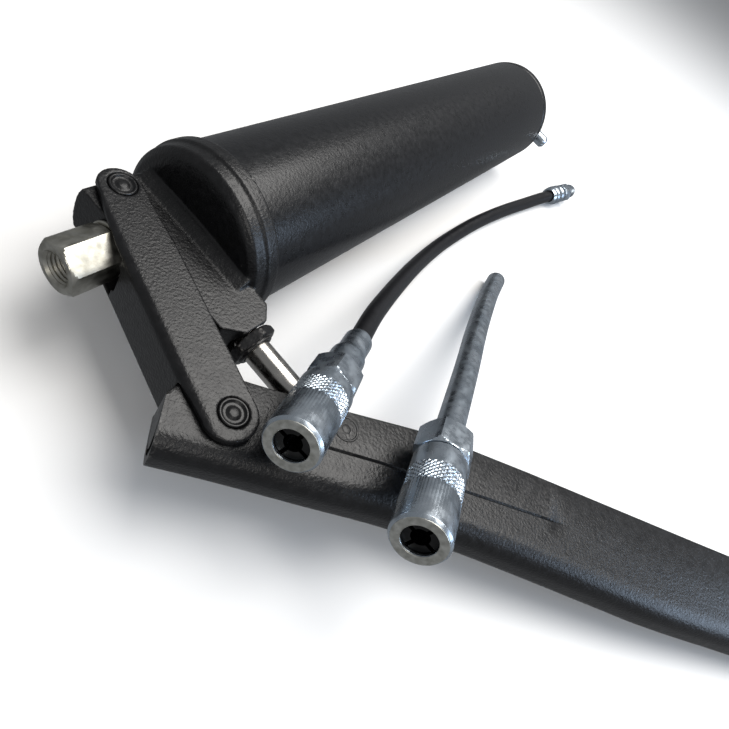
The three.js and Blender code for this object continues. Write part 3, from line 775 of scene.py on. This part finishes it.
# %% Pins
def pin(name, where, outer, body):
    side = [
        (outer - 1.0, 3.2), (outer - 1.0, 4.2), (outer - 0.2, 4.2, 0.2), (outer + 0.12, 3.95, 0.25),
        (outer + 0.10, 3.55, 0.3), (outer - 0.55, 3.0, 0.6), (outer - 0.6, 2.2, 0.6), (outer - 0.05, 1.3, 0.8),
        (outer + 0.12, 0.5), (outer + 0.13, 0)]
    whole = [(-a, r, *rest) for a, r, *rest in reversed(side)] + side
    piece = turned(name, whole, moved(*where), 72, 40)
    return dress(piece, "black_pin", body, "black_pin", name_of_node[name])


name_of_node = {"head_pin": "link_head_pin", "lever_pin": "link_lever_pin", "eye_pin": "plunger_pin"}
pin("head_pin", PIN_A, 11.35, "gun_body")
pin("lever_pin", PIN_B, 11.35, "link")
pin("eye_pin", PIN_C, 8.35, "lever")

# %% [markdown]
# ## Plunger and gland
# The plunger is a ground and polished rod with a flat eye at the lever. It leaves the head through a
# hexagonal gland that squeezes its seal.

# %% Plunger and gland
rod = turned("plunger_rod", [
    (-80, 0), (-80, 4.6), (-60, 4.6), (-40, 4.6), (-26.8, 4.6, 0.3), (-26, 4.0), (-26, 0)], ALONG_Y, 64)
dress(rod, "bright_steel", "plunger", "bright_steel", "plunger")
eye = turned("plunger_eye", [(-3.9, 3.4), (-3.9, 6.0, 0.4), (-3.3, 6.4, 0.3), (3.3, 6.4, 0.3), (3.9, 6.0, 0.4),
                             (3.9, 3.4)], moved(*PIN_C), 64)
dress(eye, "bright_steel", "plunger", "bright_steel")
gland_place = ALONG_Y
gland = hexagon("gland", 14.8, -42, -38.6, gland_place, bore=4.9, corner_turn=0, chamfer=0.8)
dress(gland, "black_casting", "gun_body", "black_casting", "gland_nut")
lip = turned("gland_lip", [(-42.8, 4.9), (-42.8, 5.9, 0.3), (-42.4, 6.1), (-41.9, 6.1), (-41.9, 4.9)], ALONG_Y, 64)
dress(lip, "black_casting", "gun_body", "black_casting")

# %% [markdown]
# ## Outlet
# A plated hexagonal socket with a thread inside, and a thin washer against the head.

# %% Outlet
outlet = hexagon("outlet_hexagon", 15.2, -34.2, -17.6, outlet_place, bore=5.75, corner_turn=30, chamfer=1.2)
dress(outlet, "outlet_zinc", "gun_body", "zinc", "outlet_socket")
lining = turned("outlet_thread", [
    (-34.25, 5.8), (-34.3, 5.6), (-33.4, 4.9), *[(a, r) for a, r in thread_rings(-33.2, -22.5, 4.45, 4.95, 1.25)],
    (-22, 2.2), (-17.8, 2.2), (-17.8, 5.8)], outlet_place, 80, 18)
dress(lining, "outlet_zinc", "gun_body", "zinc")
washer = turned("washer", [
    (-17.4, 5.2), (-17.4, 8.2, 0.3), (-17.1, 8.6, 0.2), (-16.5, 8.6, 0.2), (-16.2, 8.3),
    (-16.2, 5.2)], outlet_place, 80)
dress(washer, "outlet_zinc", "gun_body", "zinc", "outlet_washer")

# %% [markdown]
# ## Follower's handle
# A cross bar on the end of the follower's rod, which is pulled back to load the gun.

# %% Handle
bar = turned("handle_bar", [
    (-33, 0), (-33, 2.2, 0.6), (-31.6, 3.7, 1.2), (-8, 4.0, 1), (8, 4.0, 1), (31.6, 3.7, 1.2), (33, 2.2, 0.6), (33, 0)],
    moved(288, 0, 0) @ ALONG_Y, 64)
dress(bar, "zinc", "follower", "zinc", "follower_handle")
hub = turned("handle_hub", [
    (281.6, 0), (281.6, 5.2, 0.4), (283, 6.2, 0.8), (291, 6.2, 0.8), (292.3, 4.6, 0.6), (292.3, 0)], ALONG_X, 64)
dress(hub, "zinc", "follower", "zinc")

# %% [markdown]
# ## Pieces that stay as they came
# The springs, seals, ball and follower sit inside and are already the right shape. They keep their
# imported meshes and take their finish, and a small modifier shades their curved faces smoothly.

# %% Inner pieces
def smooth_group():
    group = bpy.data.node_groups.new("smooth_curves", "GeometryNodeTree")
    group.interface.new_socket("Geometry", in_out="INPUT", socket_type="NodeSocketGeometry")
    group.interface.new_socket("Geometry", in_out="OUTPUT", socket_type="NodeSocketGeometry")
    start = group.nodes.new("NodeGroupInput")
    stop = group.nodes.new("NodeGroupOutput")
    weld = group.nodes.new("GeometryNodeMergeByDistance")
    weld.inputs["Distance"].default_value = 0.00001
    faces_smooth = group.nodes.new("GeometryNodeSetShadeSmooth")
    edges_sharp = group.nodes.new("GeometryNodeSetShadeSmooth")
    edges_sharp.domain = "EDGE"
    edges_sharp.inputs["Shade Smooth"].default_value = False
    bend = group.nodes.new("GeometryNodeInputMeshEdgeAngle")
    steep = group.nodes.new("FunctionNodeCompare")
    steep.operation = "GREATER_THAN"
    steep.inputs["B"].default_value = math.radians(35)
    group.links.new(start.outputs[0], weld.inputs["Geometry"])
    group.links.new(weld.outputs[0], faces_smooth.inputs["Geometry"])
    group.links.new(faces_smooth.outputs[0], edges_sharp.inputs["Geometry"])
    group.links.new(bend.outputs["Unsigned Angle"], steep.inputs["A"])
    group.links.new(steep.outputs[0], edges_sharp.inputs["Selection"])
    group.links.new(edges_sharp.outputs[0], stop.inputs[0])
    return group


curves = smooth_group()
slot_of = {row["node"]: row["material_slot"] for row in frame["record"]["subparts"]}
for name, node in frame["nodes"].items():
    if node.hide_render:
        continue
    node.data.materials.clear()
    node.data.materials.append(finish[slot_of[name]])
    node.modifiers.new("smooth_curves", "NODES").node_group = curves
    print("kept as packed:", name)

# %% [markdown]
# ## Table and light
# A plain pale table and soft studio light: one broad panel overhead, a small one at the front left and
# a cooler one on the right. The table is left out of reflections and bounced light, which keeps the
# black parts black beside it, and the Standard view keeps it white.

# %% Table and light
table = bpy.data.objects.new("table", bpy.data.meshes.new("table"))
table.data.from_pydata([(-4, -4, 0), (4, -4, 0), (4, 4, 0), (-4, 4, 0)], [], [(0, 1, 2, 3)])
bpy.context.scene.collection.objects.link(table)
paper, *_ = new_finish("paper", (0.86, 0.86, 0.86), 0.85)
table.data.materials.append(paper)
table.visible_glossy = False
table.visible_diffuse = False


def panel(name, place, target, size, power, colour):
    data = bpy.data.lights.new(name, "AREA")
    data.shape = "RECTANGLE"
    data.size, data.size_y = size
    data.energy = power
    data.color = colour
    light = bpy.data.objects.new(name, data)
    bpy.context.scene.collection.objects.link(light)
    light.location = place
    light.rotation_euler = (Vector(target) - Vector(place)).to_track_quat("-Z", "Y").to_euler()
    return light


panel("overhead", (0.30, -0.05, 0.95), (0, 0.05, 0), (0.9, 0.8), 15, (1.0, 0.98, 0.95))
panel("front_left", (-0.9, -0.5, 0.75), (-0.05, 0.06, 0.02), (0.35, 0.5), 3, (1.0, 0.97, 0.93))
panel("sky_right", (0.35, -0.95, 0.45), (0.1, 0.1, 0.03), (0.9, 0.35), 6, (0.62, 0.78, 1.0))
world = bpy.data.worlds.new("studio")
bpy.context.scene.world = world
world.use_nodes = True
world.node_tree.nodes["Background"].inputs["Color"].default_value = (0.93, 0.96, 1.0, 1)
world.node_tree.nodes["Background"].inputs["Strength"].default_value = 0.26
bpy.context.scene.view_settings.view_transform = "Standard"
